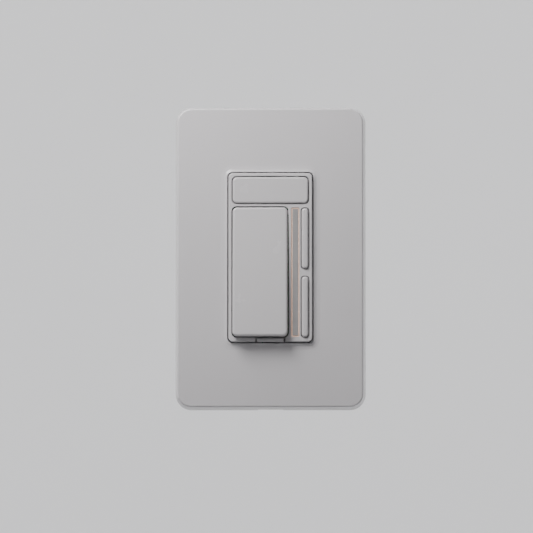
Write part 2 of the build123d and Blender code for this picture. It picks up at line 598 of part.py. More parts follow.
def make_key(name, key_z, switch_at):
    """Narrow key beside the light bar."""
    with BuildPart() as key:
        block(KEY_X, key_z, (KEY_BACK, KEY_HEIGHT), corner=KEY_CORNER)
        fillet(key.faces().sort_by(Axis.Y)[0].edges(), KEY_FILLET)
        block(KEY_FLANGE_X, grown(key_z, 0.5), CAP_FLANGE)
        post(*switch_at, (PLUNGER_HEIGHTS[1], CAP_FLANGE[0] + 0.1), KEY_POST_RADIUS)
    save(key, name)


# ---------------------------------------------------------------- light bar

GUIDE_X, GUIDE_FRONT, GUIDE_BACK = (8.3, 11.3), 7.9, 3.9
DIFFUSER_X, DIFFUSER_HEIGHTS = (8.7, 10.9), (7.15, 8.15)
GUIDE_FLANGE_X, GUIDE_LEG_X = (8.15, 11.45), (8.8, 10.8)
GUIDE_SHOULDER = 5.6
LED_COUNT, LED_HEIGHT, LED_X, LED_HALF, LED_INSET = 7, 0.8, (9.0, 10.6), 0.45, 3.0


def make_light_guide():
    """Clear channel that carries the light of the seven lamps to the front."""
    inner_z = grown(LIGHT_Z, -0.1)
    with BuildPart() as light_guide:
        block(GUIDE_X, inner_z, (GUIDE_SHOULDER, GUIDE_FRONT), corner=0.4)
        block(GUIDE_FLANGE_X, grown(LIGHT_Z, 0.2), (GUIDE_SHOULDER, frame_skin_back - 0.05))
        block(GUIDE_LEG_X, inner_z, (GUIDE_BACK, GUIDE_SHOULDER))
        groove_heights = (DIFFUSER_HEIGHTS[0] - 0.03, GUIDE_FRONT + PAST)
        block(grown(DIFFUSER_X, 0.03), grown(inner_z, -0.4), groove_heights, mode=Mode.SUBTRACT)
    save(light_guide, "light_guide")


def make_light_diffuser():
    """Grey translucent strip laid in the guide's groove."""
    with BuildPart() as light_diffuser:
        block(DIFFUSER_X, grown(LIGHT_Z, -0.55), DIFFUSER_HEIGHTS)
        fillet(light_diffuser.faces().sort_by(Axis.Y)[0].edges(), 0.2)
    save(light_diffuser, "light_diffuser")


def make_status_leds():
    """Seven small lamps in a row on the keypad board."""
    pitch = (length(LIGHT_Z) - 2 * LED_INSET) / (LED_COUNT - 1)
    with BuildPart() as status_leds:
        for i in range(LED_COUNT):
            z = LIGHT_Z[0] + LED_INSET + i * pitch
            block(LED_X, around(z, LED_HALF), (BOARD_FRONT, BOARD_FRONT + LED_HEIGHT))
    save(status_leds, "status_leds")


# ---------------------------------------------------------------- keypad board and switches


def make_insulator_sheet():
    """Thin sheet between the yoke and the keypad board."""
    with BuildPart() as insulator_sheet:
        block(BOARD_X, BOARD_Z, (YOKE_THICKNESS, BOARD_BACK))
        block(*pin_window, (YOKE_THICKNESS, BOARD_BACK), mode=Mode.SUBTRACT)
    save(insulator_sheet, "insulator_sheet")


def make_keypad_board():
    """Circuit board that carries the switches, the lamps and the radio."""
    with BuildPart() as keypad_board:
        block(BOARD_X, BOARD_Z, (BOARD_BACK, BOARD_FRONT), corner=0.8)
        for x in PIN_X:
            for z in PIN_Z:
                post(x, z, (BOARD_BACK, BOARD_FRONT), PIN_HOLE_RADIUS, mode=Mode.SUBTRACT)
    save(keypad_board, "keypad_board")


def make_switch_bodies():
    """Four push-switch bodies on the keypad board, each with a well for its plunger."""
    top = BOARD_FRONT + SWITCH_BODY
    with BuildPart() as switch_bodies:
        for x, z in (PADDLE_SWITCH_AT, SCENE_SWITCH_AT, RAISE_SWITCH_AT, LOWER_SWITCH_AT):
            block(around(x, SWITCH_WIDTH / 2), around(z, SWITCH_LENGTH / 2), (BOARD_FRONT, top))
            post(x, z, (top - SWITCH_WELL, top), SWITCH_WELL_RADIUS, mode=Mode.SUBTRACT)
    save(switch_bodies, "switch_bodies")


def make_plunger(name, switch_at):
    """Pin that a cap presses into its switch."""
    with BuildPart() as plunger:
        post(*switch_at, PLUNGER_HEIGHTS, PLUNGER_RADIUS)
        chamfer(plunger.faces().sort_by(Axis.Y)[-1].edges(), 0.12)
    save(plunger, name)


RADIO_BOARD_X, RADIO_BOARD_Z, RADIO_BOARD_THICKNESS = (-11.0, 1.0), (1.0, 15.0), 0.8
RADIO_CAN_X, RADIO_CAN_Z, RADIO_CAN_TOP, RADIO_CAN_CORNER = (-10.4, 0.4), (1.6, 11.5), 2.2, 0.6


def make_radio_module():
    """Shielded radio on the keypad board, under the paddle."""
    with BuildPart() as radio_module:
        board_top = BOARD_FRONT + RADIO_BOARD_THICKNESS
        block(RADIO_BOARD_X, RADIO_BOARD_Z, (BOARD_FRONT, board_top))
        can_heights = (board_top, BOARD_FRONT + RADIO_CAN_TOP)
        block(RADIO_CAN_X, RADIO_CAN_Z, can_heights, corner=RADIO_CAN_CORNER)
    save(radio_module, "radio_module")


pin_strip = (
    grown((PIN_X[0], PIN_X[-1]), PIN_STRIP_MARGIN),
    grown((PIN_Z[0], PIN_Z[-1]), PIN_STRIP_MARGIN),
)


def make_board_pins():
    """Eight pins in a plastic strip, from the keypad board back to the power board."""
    with BuildPart() as board_pins:
        block(*pin_strip, (-1.0, BOARD_BACK))
        for x in PIN_X:
            for z in PIN_Z:
                block(around(x, PIN_HALF), around(z, PIN_HALF), (PIN_END, BOARD_FRONT + 0.6))
    save(board_pins, "board_pins")


def make_pin_socket():
    """Socket on the power board that takes the pins."""
    with BuildPart() as pin_socket:
        heights = (POWER_BOARD_FRONT, POWER_BOARD_FRONT + SOCKET_HEIGHT)
        block(*pin_strip, heights)
        for x in PIN_X:
            for z in PIN_Z:
                post(x, z, heights, PIN_HOLE_RADIUS, mode=Mode.SUBTRACT)
    save(pin_socket, "pin_socket")


# ---------------------------------------------------------------- air-gap switch


def make_air_gap_tab():
    """Pull tab at the foot of the frame with the stem and carrier behind it."""
    with BuildPart() as air_gap_tab:
        block((-TAB_HALF_WIDTH, TAB_HALF_WIDTH), TAB_Z, TAB_HEIGHTS)
        fillet(air_gap_tab.faces().sort_by(Axis.Y)[0].edges(), TAB_FILLET)
        stem_x = (-STEM_HALF_WIDTH, STEM_HALF_WIDTH)
        block(stem_x, STEM_Z, (CARRIER_HEIGHTS[1], TAB_HEIGHTS[0]))
        block(stem_x, CARRIER_Z, CARRIER_HEIGHTS)
        block(grown(stem_x, 1), WINDOW_Z, WINDOW_HEIGHTS, mode=Mode.SUBTRACT)
    save(air_gap_tab, "air_gap_tab")


TAB_FILLET = 0.25
BRIDGE_HALF, CONTACT_FOOT, CONTACT_FOOT_Z = 8.0, 0.8, (-31.3, -28.5)
CONTACT_DEPTH, CONTACT_FOOT_X, CONTACT_LEG_X = 0.6, (4.9, 10.0), (9.2, 10.0)
CONTACT_SPRING_RADIUS, CONTACT_SPRING_WIRE, CONTACT_SPRING_TURNS = 0.85, 0.18, 5


def make_bridge_contact():
    """Copper bar across the carrier with a silver button at each end."""
    back = WINDOW_HEIGHTS[0]
    with BuildPart() as bridge_contact:
        block(around(0, BRIDGE_HALF), BRIDGE_Z, (back, back + BRIDGE_THICKNESS), corner=0.5)
        for x in (-CONTACT_X, CONTACT_X):
            post(x, CONTACT_Z, (CONTACT_MEET, back), CONTACT_RADIUS)
    save(bridge_contact, "bridge_contact")


def make_contact_spring():
    """Spring that presses the bridge back in the carrier's window."""
    base = WINDOW_HEIGHTS[0] + BRIDGE_THICKNESS
    with BuildPart() as contact_spring:
        coil_spring(
            facing_room(0, base, CONTACT_Z),
            CONTACT_SPRING_RADIUS,
            CONTACT_SPRING_WIRE,
            WINDOW_HEIGHTS[1] - base,
            CONTACT_SPRING_TURNS,
        )
    save(contact_spring, "contact_spring")


def make_fixed_contacts():
    """The two contacts that the bridge joins, on legs from the power board."""
    with BuildPart() as fixed_contacts:
        for side in SIDES:
            foot_top = CONTACT_MEET - CONTACT_DEPTH
            post(side * CONTACT_X, CONTACT_Z, (foot_top, CONTACT_MEET), CONTACT_RADIUS)
            block(mirrored(CONTACT_FOOT_X, side), CONTACT_FOOT_Z, (foot_top - CONTACT_FOOT, foot_top))
            block(mirrored(CONTACT_LEG_X, side), CONTACT_FOOT_Z, (POWER_BOARD_FRONT, foot_top))
    save(fixed_contacts, "fixed_contacts")


# ---------------------------------------------------------------- housing and its screws


HOUSING_CORNER, HOUSING_REAR_FILLET = 2.5, 1.4
COLUMN_RADIUS, COLUMN_BORE, COLUMN_RECESS_RADIUS, COLUMN_RECESS = 2.7, 1.35, 2.5, 2.2
PILLAR_AT, PILLAR_RADIUS = (12.0, 24.0), 1.6
POCKET_SCREW_RADIUS, TAIL_SLOT_X, TAIL_SLOT_HALF = 2.2, (17.3, 18.8), 1.9
STRIP_GAUGE_X, STRIP_GAUGE_HALF, STRIP_GAUGE_DEPTH = (-9.0, 9.0), (0.7, 26.0), 0.5
HOUSING_HEAD_RADIUS, HOUSING_HEAD_HEIGHT, HOUSING_SHANK_RADIUS = 2.2, 1.6, 1.2


def make_housing():
    """Moulded back body with four terminal pockets in its sides."""
    outer = (HOUSING_WIDTH / 2, HOUSING_HEIGHT / 2)
    inner = (outer[0] - HOUSING_WALL, outer[1] - HOUSING_WALL)
    rear, floor = -HOUSING_DEPTH, -HOUSING_DEPTH + HOUSING_WALL
    with BuildPart() as housing:
        block(around(0, outer[0]), around(0, outer[1]), (rear, 0), corner=HOUSING_CORNER)
        fillet(housing.faces().sort_by(Axis.Y)[-1].edges(), HOUSING_REAR_FILLET)
        block(around(0, inner[0]), around(0, inner[1]), (floor, 0), corner=1.2, mode=Mode.SUBTRACT)
        # corner columns for the housing screws, and pillars under the power board
        for x, z in corners(*HOUSING_SCREW_AT):
            post(x, z, (floor, 0), COLUMN_RADIUS)
        for x, z in corners(*PILLAR_AT):
            post(x, z, (floor, POWER_BOARD_FRONT - POWER_BOARD_THICKNESS), PILLAR_RADIUS)
        for x, z in corners(*HOUSING_SCREW_AT):
            post(x, z, (rear, 0), COLUMN_BORE, mode=Mode.SUBTRACT)
            post(x, z, (rear, rear + COLUMN_RECESS), COLUMN_RECESS_RADIUS, mode=Mode.SUBTRACT)
        # terminal pockets, sunk into the sides
        for side in SIDES:
            for z in (-POCKET_Z, POCKET_Z):
                pocket_z = around(z, POCKET_HALF)
                pocket_walls_x = (POCKET_FLOOR_X - POCKET_WALL, outer[0] - 0.1)
                block(
                    mirrored(pocket_walls_x, side),
                    grown(pocket_z, POCKET_WALL),
                    grown(POCKET_HEIGHTS, POCKET_WALL),
                )
                pocket_x = (POCKET_FLOOR_X, outer[0] + PAST)
                block(mirrored(pocket_x, side), pocket_z, POCKET_HEIGHTS, mode=Mode.SUBTRACT)
                bore_x = (POCKET_FLOOR_X - POCKET_WALL - 0.2, POCKET_FLOOR_X + 0.4)
                bore_sideways(mirrored(bore_x, side), z, TERMINAL_HEIGHT, POCKET_SCREW_RADIUS)
                slot_heights = (POCKET_HEIGHTS[0] - 2, POCKET_HEIGHTS[0] + 0.1)
                slot_x, slot_z = mirrored(TAIL_SLOT_X, side), around(z, TAIL_SLOT_HALF)
                block(slot_x, slot_z, slot_heights, mode=Mode.SUBTRACT)
        # shallow strip gauges on the rear wall
        for x in STRIP_GAUGE_X:
            gauge_x, gauge_z = around(x, STRIP_GAUGE_HALF[0]), around(0, STRIP_GAUGE_HALF[1])
            block(gauge_x, gauge_z, (rear, rear + STRIP_GAUGE_DEPTH), mode=Mode.SUBTRACT)
    save(housing, "housing")


def make_housing_screws():
    """Four long screws from the rear of the housing into the yoke."""
    seat_height = -HOUSING_DEPTH + COLUMN_RECESS
    with BuildPart() as housing_screws:
        for x, z in corners(*HOUSING_SCREW_AT):
            seat = facing_wall(x, seat_height, z)
            screw(seat, HOUSING_HEAD_RADIUS, HOUSING_HEAD_HEIGHT, HOUSING_SHANK_RADIUS, 1.0 - seat_height)
    save(housing_screws, "housing_screws")


# ---------------------------------------------------------------- side terminals

TERMINAL_PLATE_THICKNESS, TERMINAL_PLATE_HALF, TERMINAL_PLATE_HEIGHTS = 1.0, 4.2, (-14.8, -5.2)
TAIL_THICKNESS, TAIL_HALF, TAIL_TOP = 0.8, 1.5, -14.0
CLAMP_THICKNESS, CLAMP_HALF = 0.8, 4.0
TERMINAL_HEAD_RADIUS, TERMINAL_HEAD_HEIGHT, TERMINAL_SCREW_LENGTH = 3.4, 1.9, 5.4
plate_x = (POCKET_FLOOR_X, POCKET_FLOOR_X + TERMINAL_PLATE_THICKNESS)
clamp_x = (plate_x[1], plate_x[1] + CLAMP_THICKNESS)
tail_x = (plate_x[0], plate_x[0] + TAIL_THICKNESS)


def make_terminal_plates():
    """Brass plates in the pockets, each with a tail back to the power board."""
    with BuildPart() as terminal_plates:
        for side in SIDES:
            for z in (-POCKET_Z, POCKET_Z):
                block(mirrored(plate_x, side), around(z, TERMINAL_PLATE_HALF), TERMINAL_PLATE_HEIGHTS)
                block(mirrored(tail_x, side), around(z, TAIL_HALF), (POWER_BOARD_FRONT, TAIL_TOP))
                bore_x = mirrored(grown(plate_x, 0.4), side)
                bore_sideways(bore_x, z, TERMINAL_HEIGHT, SCREW_RADIUS + SCREW_CLEARANCE)
    save(terminal_plates, "terminal_plates")


def make_terminal_clamps():
    """Square clamping washers under the terminal screws."""
    with BuildPart() as terminal_clamps:
        for side in SIDES:
            for z in (-POCKET_Z, POCKET_Z):
                clamp_heights = around(TERMINAL_HEIGHT, CLAMP_HALF)
                block(mirrored(clamp_x, side), around(z, CLAMP_HALF), clamp_heights)
                bore_x = mirrored(grown(clamp_x, 0.4), side)
                bore_sideways(bore_x, z, TERMINAL_HEIGHT, SCREW_RADIUS + 2 * SCREW_CLEARANCE)
    save(terminal_clamps, "terminal_clamps")


def make_terminal_screws():
    """Four side screws for the line, load, companion and neutral wires."""
    with BuildPart() as terminal_screws:
        for side in SIDES:
            for z in (-POCKET_Z, POCKET_Z):
                origin = (side * clamp_x[1], -TERMINAL_HEIGHT, z)
                seat = Plane(origin=origin, x_dir=(0, 0, 1), z_dir=(side, 0, 0))
                screw(seat, TERMINAL_HEAD_RADIUS, TERMINAL_HEAD_HEIGHT, SCREW_RADIUS, TERMINAL_SCREW_LENGTH)
    save(terminal_screws, "terminal_screws")


# ---------------------------------------------------------------- power electronics


POWER_BOARD_HALF, BOARD_CORNER_X, BOARD_CORNER_Z = (19.3, 32.3), (14.2, 20.0), (27.6, 33.0)


def make_power_board():
    """Main circuit board at the rear of the housing."""
    heights = (POWER_BOARD_FRONT - POWER_BOARD_THICKNESS, POWER_BOARD_FRONT)
    with BuildPart() as power_board:
        block(around(0, POWER_BOARD_HALF[0]), around(0, POWER_BOARD_HALF[1]), heights)
        for side_x, side_z in corners(1, 1):
            corner_x, corner_z = mirrored(BOARD_CORNER_X, side_x), mirrored(BOARD_CORNER_Z, side_z)
            block(corner_x, corner_z, heights, mode=Mode.SUBTRACT)
    save(power_board, "power_board")


CHOKE_AT, CHOKE_HEIGHT = (-6.5, 13.0), POWER_BOARD_FRONT + 3.8
CHOKE_RADIUS, CHOKE_SECTION, CHOKE_WIRE, CHOKE_TURNS = 6.2, 2.9, 0.33, 20
CHOKE_START_DEG, CHOKE_SPAN_DEG = 20, 320
FILM_CAPACITOR_X, FILM_CAPACITOR_Z, FILM_CAPACITOR_TOP = (6.0, 12.0), (-2.0, 11.0), -11.0
BULK_CAPACITOR_AT, BULK_CAPACITOR_RADIUS, BULK_CAPACITOR_TOP = (8.5, 18.0), 5.0, -7.5
FUSE_AT, FUSE_RADIUS, FUSE_TOP = (9.5, -8.0), 4.2, -15.0
SURGE_X, SURGE_AT, SURGE_RADIUS = (6.5, 10.5), (-22.0, -16.5), 5.0
SURGE_LEAD_Z, SURGE_LEAD_RADIUS = (-24.5, -19.5), 0.4


def make_choke_core():
    """Ring core of the interference choke."""
    with BuildPart() as choke_core:
        with Locations(facing_room(CHOKE_AT[0], CHOKE_HEIGHT, CHOKE_AT[1])):
            Torus(CHOKE_RADIUS, CHOKE_SECTION)
    save(choke_core, "choke_core")


def make_choke_winding():
    """Turns of enamelled wire round the ring."""
    with BuildPart() as choke_winding:
        for i in range(CHOKE_TURNS):
            angle = math.radians(CHOKE_START_DEG + i * CHOKE_SPAN_DEG / (CHOKE_TURNS - 1))
            out = Vector(math.cos(angle), 0, math.sin(angle))
            along = Vector(-math.sin(angle), 0, math.cos(angle))
            centre = Vector(CHOKE_AT[0], -CHOKE_HEIGHT, CHOKE_AT[1]) + out * CHOKE_RADIUS
            with Locations(Plane(origin=centre, x_dir=out, z_dir=along)):
                Torus(CHOKE_SECTION + CHOKE_WIRE + 0.02, CHOKE_WIRE)
    save(choke_winding, "choke_winding")


def make_film_capacitor():
    with BuildPart() as film_capacitor:
        block(FILM_CAPACITOR_X, FILM_CAPACITOR_Z, (POWER_BOARD_FRONT, FILM_CAPACITOR_TOP))
        fillet(film_capacitor.faces().sort_by(Axis.Y)[0].edges(), 0.6)
    save(film_capacitor, "film_capacitor")


def make_bulk_capacitor():
    """Electrolytic can standing on the power board."""
    with BuildPart() as bulk_capacitor:
        post(*BULK_CAPACITOR_AT, (POWER_BOARD_FRONT, BULK_CAPACITOR_TOP), BULK_CAPACITOR_RADIUS)
        fillet(bulk_capacitor.faces().sort_by(Axis.Y)[0].edges(), 0.7)
    save(bulk_capacitor, "bulk_capacitor")


def make_fuse():
    with BuildPart() as fuse:
        post(*FUSE_AT, (POWER_BOARD_FRONT, FUSE_TOP), FUSE_RADIUS)
        fillet(fuse.faces().sort_by(Axis.Y)[0].edges(), 0.4)
    save(fuse, "fuse")


def make_surge_absorber():
    """Disc that soaks up mains spikes, standing on edge on two leads."""
    with BuildPart() as surge_absorber:
        with BuildSketch(side_plane(SURGE_X[0], 1)):
            with Locations(SURGE_AT):
                Circle(SURGE_RADIUS)
        extrude(amount=length(SURGE_X))
        fillet(surge_absorber.edges(), 0.9)
        for z in SURGE_LEAD_Z:
            post(middle(SURGE_X), z, (POWER_BOARD_FRONT, SURGE_AT[1] - 1.5), SURGE_LEAD_RADIUS)
    save(surge_absorber, "surge_absorber")


COIL_FORMER_X, COIL_FORMER_Z, FLANGE_THICKNESS = (-13.4, -2.0), (-25.0, -11.0), 1.5
SUPPLY_CORE_X, SUPPLY_CORE_Z, SUPPLY_CORE_TOP = (-12.9, -2.5), (-22.0, -14.0), -13.5
SUPPLY_COIL_X, SUPPLY_COIL_Z = (-10.5, -4.9), (-24.6, -11.4)


def make_supply_transformer():
    """Small transformer of the low-voltage supply."""
    with BuildPart() as supply_transformer:
        core_heights = (POWER_BOARD_FRONT + FLANGE_THICKNESS, SUPPLY_CORE_TOP)
        block(COIL_FORMER_X, COIL_FORMER_Z, (POWER_BOARD_FRONT, core_heights[0]))
        block(SUPPLY_CORE_X, SUPPLY_CORE_Z, core_heights)
        block(COIL_FORMER_X, COIL_FORMER_Z, (SUPPLY_CORE_TOP, SUPPLY_CORE_TOP + 1.0))
        block(SUPPLY_COIL_X, SUPPLY_COIL_Z, core_heights)
    save(supply_transformer, "supply_transformer")


PAD_HALF, PAD_Z = 5.4, (10.0, 26.5)
TRANSISTOR_HALF, TRANSISTOR_HOLE_RADIUS = 5.0, 1.5
METAL_TAB_Z, METAL_TAB_THICKNESS = (10.5, 24.0), 1.3
CASE_Z, CASE_THICKNESS = (17.0, 26.0), 4.4
LEAD_PITCH, LEAD_HALF, LEAD_HEIGHTS = 2.54, 0.4, (-3.1, -2.5)
LEAD_Z, LEAD_BEND_Z = (25.8, 28.6), (28.0, 28.6)
metal_tab_back = -PAD_THICKNESS - METAL_TAB_THICKNESS


def make_thermal_pads():
    """Insulating pads between the transistors and the yoke."""
    with BuildPart() as thermal_pads:
        for x in TRANSISTOR_X:
            block(around(x, PAD_HALF), PAD_Z, (-PAD_THICKNESS, 0))
            pad_heights = (-PAD_THICKNESS, 0)
            post(x, TRANSISTOR_SCREW_Z, pad_heights, TRANSISTOR_HOLE_RADIUS, mode=Mode.SUBTRACT)
    save(thermal_pads, "thermal_pads")


def make_power_transistors():
    """Two flat-tab transistors that chop the mains wave."""
    with BuildPart() as power_transistors:
        for x in TRANSISTOR_X:
            tab_heights = (metal_tab_back, -PAD_THICKNESS)
            block(around(x, TRANSISTOR_HALF), METAL_TAB_Z, tab_heights)
            block(around(x, TRANSISTOR_HALF), CASE_Z, (-PAD_THICKNESS - CASE_THICKNESS, -PAD_THICKNESS))
            post(x, TRANSISTOR_SCREW_Z, tab_heights, TRANSISTOR_HOLE_RADIUS, mode=Mode.SUBTRACT)
            for lead in (-LEAD_PITCH, 0.0, LEAD_PITCH):
                lead_x = around(x + lead, LEAD_HALF)
                block(lead_x, LEAD_Z, LEAD_HEIGHTS)
                block(lead_x, LEAD_BEND_Z, (POWER_BOARD_FRONT, LEAD_HEIGHTS[1]))
    save(power_transistors, "power_transistors")


def make_transistor_screws():
    with BuildPart() as transistor_screws:
        for x in TRANSISTOR_X:
            seat = facing_wall(x, metal_tab_back, TRANSISTOR_SCREW_Z)
            shank_length = YOKE_THICKNESS - metal_tab_back - 0.1
            head = (TRANSISTOR_HEAD_RADIUS, TRANSISTOR_HEAD_HEIGHT)
            screw(seat, *head, TRANSISTOR_SCREW_RADIUS, shank_length)
    save(transistor_screws, "transistor_screws")


# ---------------------------------------------------------------- the whole assembly

make_wall_plate()
make_adapter_plate()
make_adapter_screws()
make_yoke()
make_box_screws()
make_screw_retainers()
make_ground_screw()
make_front_frame()
make_paddle()
make_paddle_spring()
make_scene_button()
make_key("raise_key", RAISE_Z, RAISE_SWITCH_AT)
make_key("lower_key", LOWER_Z, LOWER_SWITCH_AT)
make_light_guide()
make_light_diffuser()
make_status_leds()
make_insulator_sheet()
make_keypad_board()
make_switch_bodies()
make_plunger("paddle_plunger", PADDLE_SWITCH_AT)
make_plunger("scene_plunger", SCENE_SWITCH_AT)
make_plunger("raise_plunger", RAISE_SWITCH_AT)
make_plunger("lower_plunger", LOWER_SWITCH_AT)
make_radio_module()
make_board_pins()
make_pin_socket()
make_air_gap_tab()
make_bridge_contact()
make_contact_spring()
make_fixed_contacts()
make_housing()
make_housing_screws()
make_terminal_plates()
make_terminal_clamps()
make_terminal_screws()
make_power_board()
make_choke_core()
make_choke_winding()
make_film_capacitor()
make_bulk_capacitor()
make_fuse()
make_surge_absorber()
make_supply_transformer()
make_thermal_pads()
make_power_transistors()
make_transistor_screws()
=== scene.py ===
"""Looks of the wall dimmer: materials, visible fine detail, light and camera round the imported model.

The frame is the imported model's own: +X right, +Z up, +Y into the wall, in metres.
"""

import json
import math

import bmesh
import bpy
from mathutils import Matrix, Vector


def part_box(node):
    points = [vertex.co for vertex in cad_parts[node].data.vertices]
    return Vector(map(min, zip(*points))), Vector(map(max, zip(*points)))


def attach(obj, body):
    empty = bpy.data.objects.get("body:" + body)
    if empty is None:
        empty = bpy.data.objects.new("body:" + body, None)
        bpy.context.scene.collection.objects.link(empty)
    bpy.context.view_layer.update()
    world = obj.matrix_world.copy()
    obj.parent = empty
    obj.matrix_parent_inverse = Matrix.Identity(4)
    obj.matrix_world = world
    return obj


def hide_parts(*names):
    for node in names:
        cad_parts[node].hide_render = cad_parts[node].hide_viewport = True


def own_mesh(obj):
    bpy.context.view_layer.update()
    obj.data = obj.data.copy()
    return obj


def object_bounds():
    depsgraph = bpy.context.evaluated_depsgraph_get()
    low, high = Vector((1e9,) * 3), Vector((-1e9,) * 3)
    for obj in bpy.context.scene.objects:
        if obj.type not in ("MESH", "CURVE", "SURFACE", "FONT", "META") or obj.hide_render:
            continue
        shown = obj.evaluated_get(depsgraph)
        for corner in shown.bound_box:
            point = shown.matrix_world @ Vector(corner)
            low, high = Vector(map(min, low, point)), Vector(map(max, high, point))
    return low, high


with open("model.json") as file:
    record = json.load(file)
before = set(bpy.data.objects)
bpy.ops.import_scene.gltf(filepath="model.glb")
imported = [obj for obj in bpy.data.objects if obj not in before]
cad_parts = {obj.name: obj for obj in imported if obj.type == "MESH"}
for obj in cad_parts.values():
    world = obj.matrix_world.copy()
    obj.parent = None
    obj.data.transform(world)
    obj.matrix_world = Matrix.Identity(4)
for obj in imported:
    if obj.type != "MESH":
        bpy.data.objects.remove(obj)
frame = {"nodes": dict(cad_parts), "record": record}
cad_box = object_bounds()

MM = 0.001

# ---------------------------------------------------------------- colours, as scene-linear red, green, blue

COVER_COLOUR = (0.62, 0.605, 0.615)
FRONT_COLOUR = (0.60, 0.585, 0.592)
ADAPTER_COLOUR = (0.58, 0.57, 0.57)
HOUSING_COLOUR = (0.022, 0.022, 0.024)
BOARD_COLOUR = (0.012, 0.10, 0.04)
BACKDROP_COLOUR = (0.74, 0.74, 0.75)
CLEAR_GUIDE_COLOUR, CLEAR_GUIDE_GLOW = (0.90, 0.70, 0.59), (1.0, 0.60, 0.40)
DIFFUSER_COLOUR, DIFFUSER_GLOW = (0.2, 0.194, 0.194), (1.0, 0.985, 0.98)
LAMP_COLOUR, LAMP_GLOW = (0.9, 0.85, 0.7), (1.0, 0.75, 0.5)


# ---------------------------------------------------------------- material building blocks


class Shader:
    """A new material with a principled shader, and short calls to add nodes in front of it."""

    def __init__(self, name, colour, roughness, metallic=0.0):
        self.material = bpy.data.materials.new(name)
        self.material.use_nodes = True
        self.tree = self.material.node_tree
        self.surface = self.tree.nodes["Principled BSDF"]
        self.set("Base Color", (*colour, 1.0))
        self.set("Roughness", roughness)
        self.set("Metallic", metallic)
        self.coordinates = self.tree.nodes.new("ShaderNodeTexCoord").outputs["Object"]

    def set(self, socket, value):
        self.surface.inputs[socket].default_value = value

    def link(self, output, target):
        self.tree.links.new(output, target)

    def stretched(self, scale):
        """Object coordinates multiplied by a vector, for streaks and grain with a direction."""
        mapping = self.tree.nodes.new("ShaderNodeMapping")
        mapping.inputs["Scale"].default_value = scale
        self.link(self.coordinates, mapping.inputs["Vector"])
        return mapping.outputs["Vector"]

    def noise(self, size, detail=3.0, vector=None):
        """Cloudy noise whose blobs are about this many metres across."""
        node = self.tree.nodes.new("ShaderNodeTexNoise")
        node.inputs["Scale"].default_value = 1.0 / size
        node.inputs["Detail"].default_value = detail
        self.link(vector or self.coordinates, node.inputs["Vector"])
        return node.outputs["Fac"]

    def cells(self, size, feature="F1"):
        """Voronoi cells about this many metres across."""
        node = self.tree.nodes.new("ShaderNodeTexVoronoi")
        node.feature = feature
        node.inputs["Scale"].default_value = 1.0 / size
        self.link(self.coordinates, node.inputs["Vector"])
        return node

    def remap(self, value, low, high, start=0.3, end=0.7):
        """Maps a value from start..end to low..high."""
        node = self.tree.nodes.new("ShaderNodeMapRange")
        node.inputs["From Min"].default_value = start
        node.inputs["From Max"].default_value = end
        node.inputs["To Min"].default_value = low
        node.inputs["To Max"].default_value = high
        self.link(value, node.inputs["Value"])
        return node.outputs["Result"]

    def blend(self, factor, first, second):
        """Mixes two colours, each an output or a plain colour, by a factor output."""
        node = self.tree.nodes.new("ShaderNodeMix")
        node.data_type = "RGBA"
        self.link(factor, node.inputs["Factor"])
        for socket, colour in ((node.inputs["A"], first), (node.inputs["B"], second)):
            if isinstance(colour, bpy.types.NodeSocket):
                self.link(colour, socket)
            else:
                socket.default_value = (*colour, 1.0)
        return node.outputs["Result"]

    def colour_from(self, output):
        self.link(output, self.surface.inputs["Base Color"])

    def roughness_from(self, output):
        self.link(output, self.surface.inputs["Roughness"])

    def bump(self, *layers):
        """Stacks bump layers, each (height output, strength, distance in metres)."""
        normal = None
        for height, strength, distance in layers:
            node = self.tree.nodes.new("ShaderNodeBump")
            node.inputs["Strength"].default_value = strength
            node.inputs["Distance"].default_value = distance
            self.link(height, node.inputs["Height"])
            if normal:
                self.link(normal, node.inputs["Normal"])
            normal = node.outputs["Normal"]
        self.link(normal, self.surface.inputs["Normal"])


def tinted(colour, factor):
    """A lighter or darker shade of a colour."""
    return tuple(min(1.0, c * factor) for c in colour)


def moulded_plastic(name, colour, roughness, coat=0.0, grain=0.35 * MM, grain_depth=0.004 * MM):
    """Injection-moulded plastic: cloudy gloss, faint sink marks, fine grain and a few dust specks."""
    s = Shader(name, colour, roughness)
    clouds = s.noise(60 * MM, 2.0)
    tone = s.blend(s.remap(clouds, 0.0, 1.0), tinted(colour, 0.988), tinted(colour, 1.012))
    dust = s.remap(s.cells(9 * MM).outputs["Distance"], 1.0, 0.0, 0.012, 0.022)
    s.colour_from(s.blend(dust, tone, tinted(colour, 0.80)))
    s.roughness_from(s.remap(s.noise(14 * MM, 5.0), roughness - 0.015, roughness + 0.02))
    s.set("Coat Weight", coat)
    s.set("Coat Roughness", 0.10)
    s.bump((s.noise(30 * MM, 2.0), 0.15, 0.05 * MM), (s.noise(grain, 2.0), 0.5, grain_depth))
    return s.material


def matte_plastic(name, colour, roughness=0.55):
    """Spark-eroded matte texture, with painted shade: darker in its pits and lighter on its peaks."""
    s = Shader(name, colour, roughness)
    pits = s.noise(0.5 * MM, 6.0)
    # painted shade: the colour follows the relief, darker in the pits and lighter on the peaks
    s.colour_from(s.blend(s.remap(pits, 0.0, 1.0), tinted(colour, 0.85), tinted(colour, 1.25)))
    s.roughness_from(s.remap(s.noise(8 * MM, 4.0), roughness - 0.08, roughness + 0.10))
    s.bump((pits, 0.6, 0.03 * MM))
    return s.material


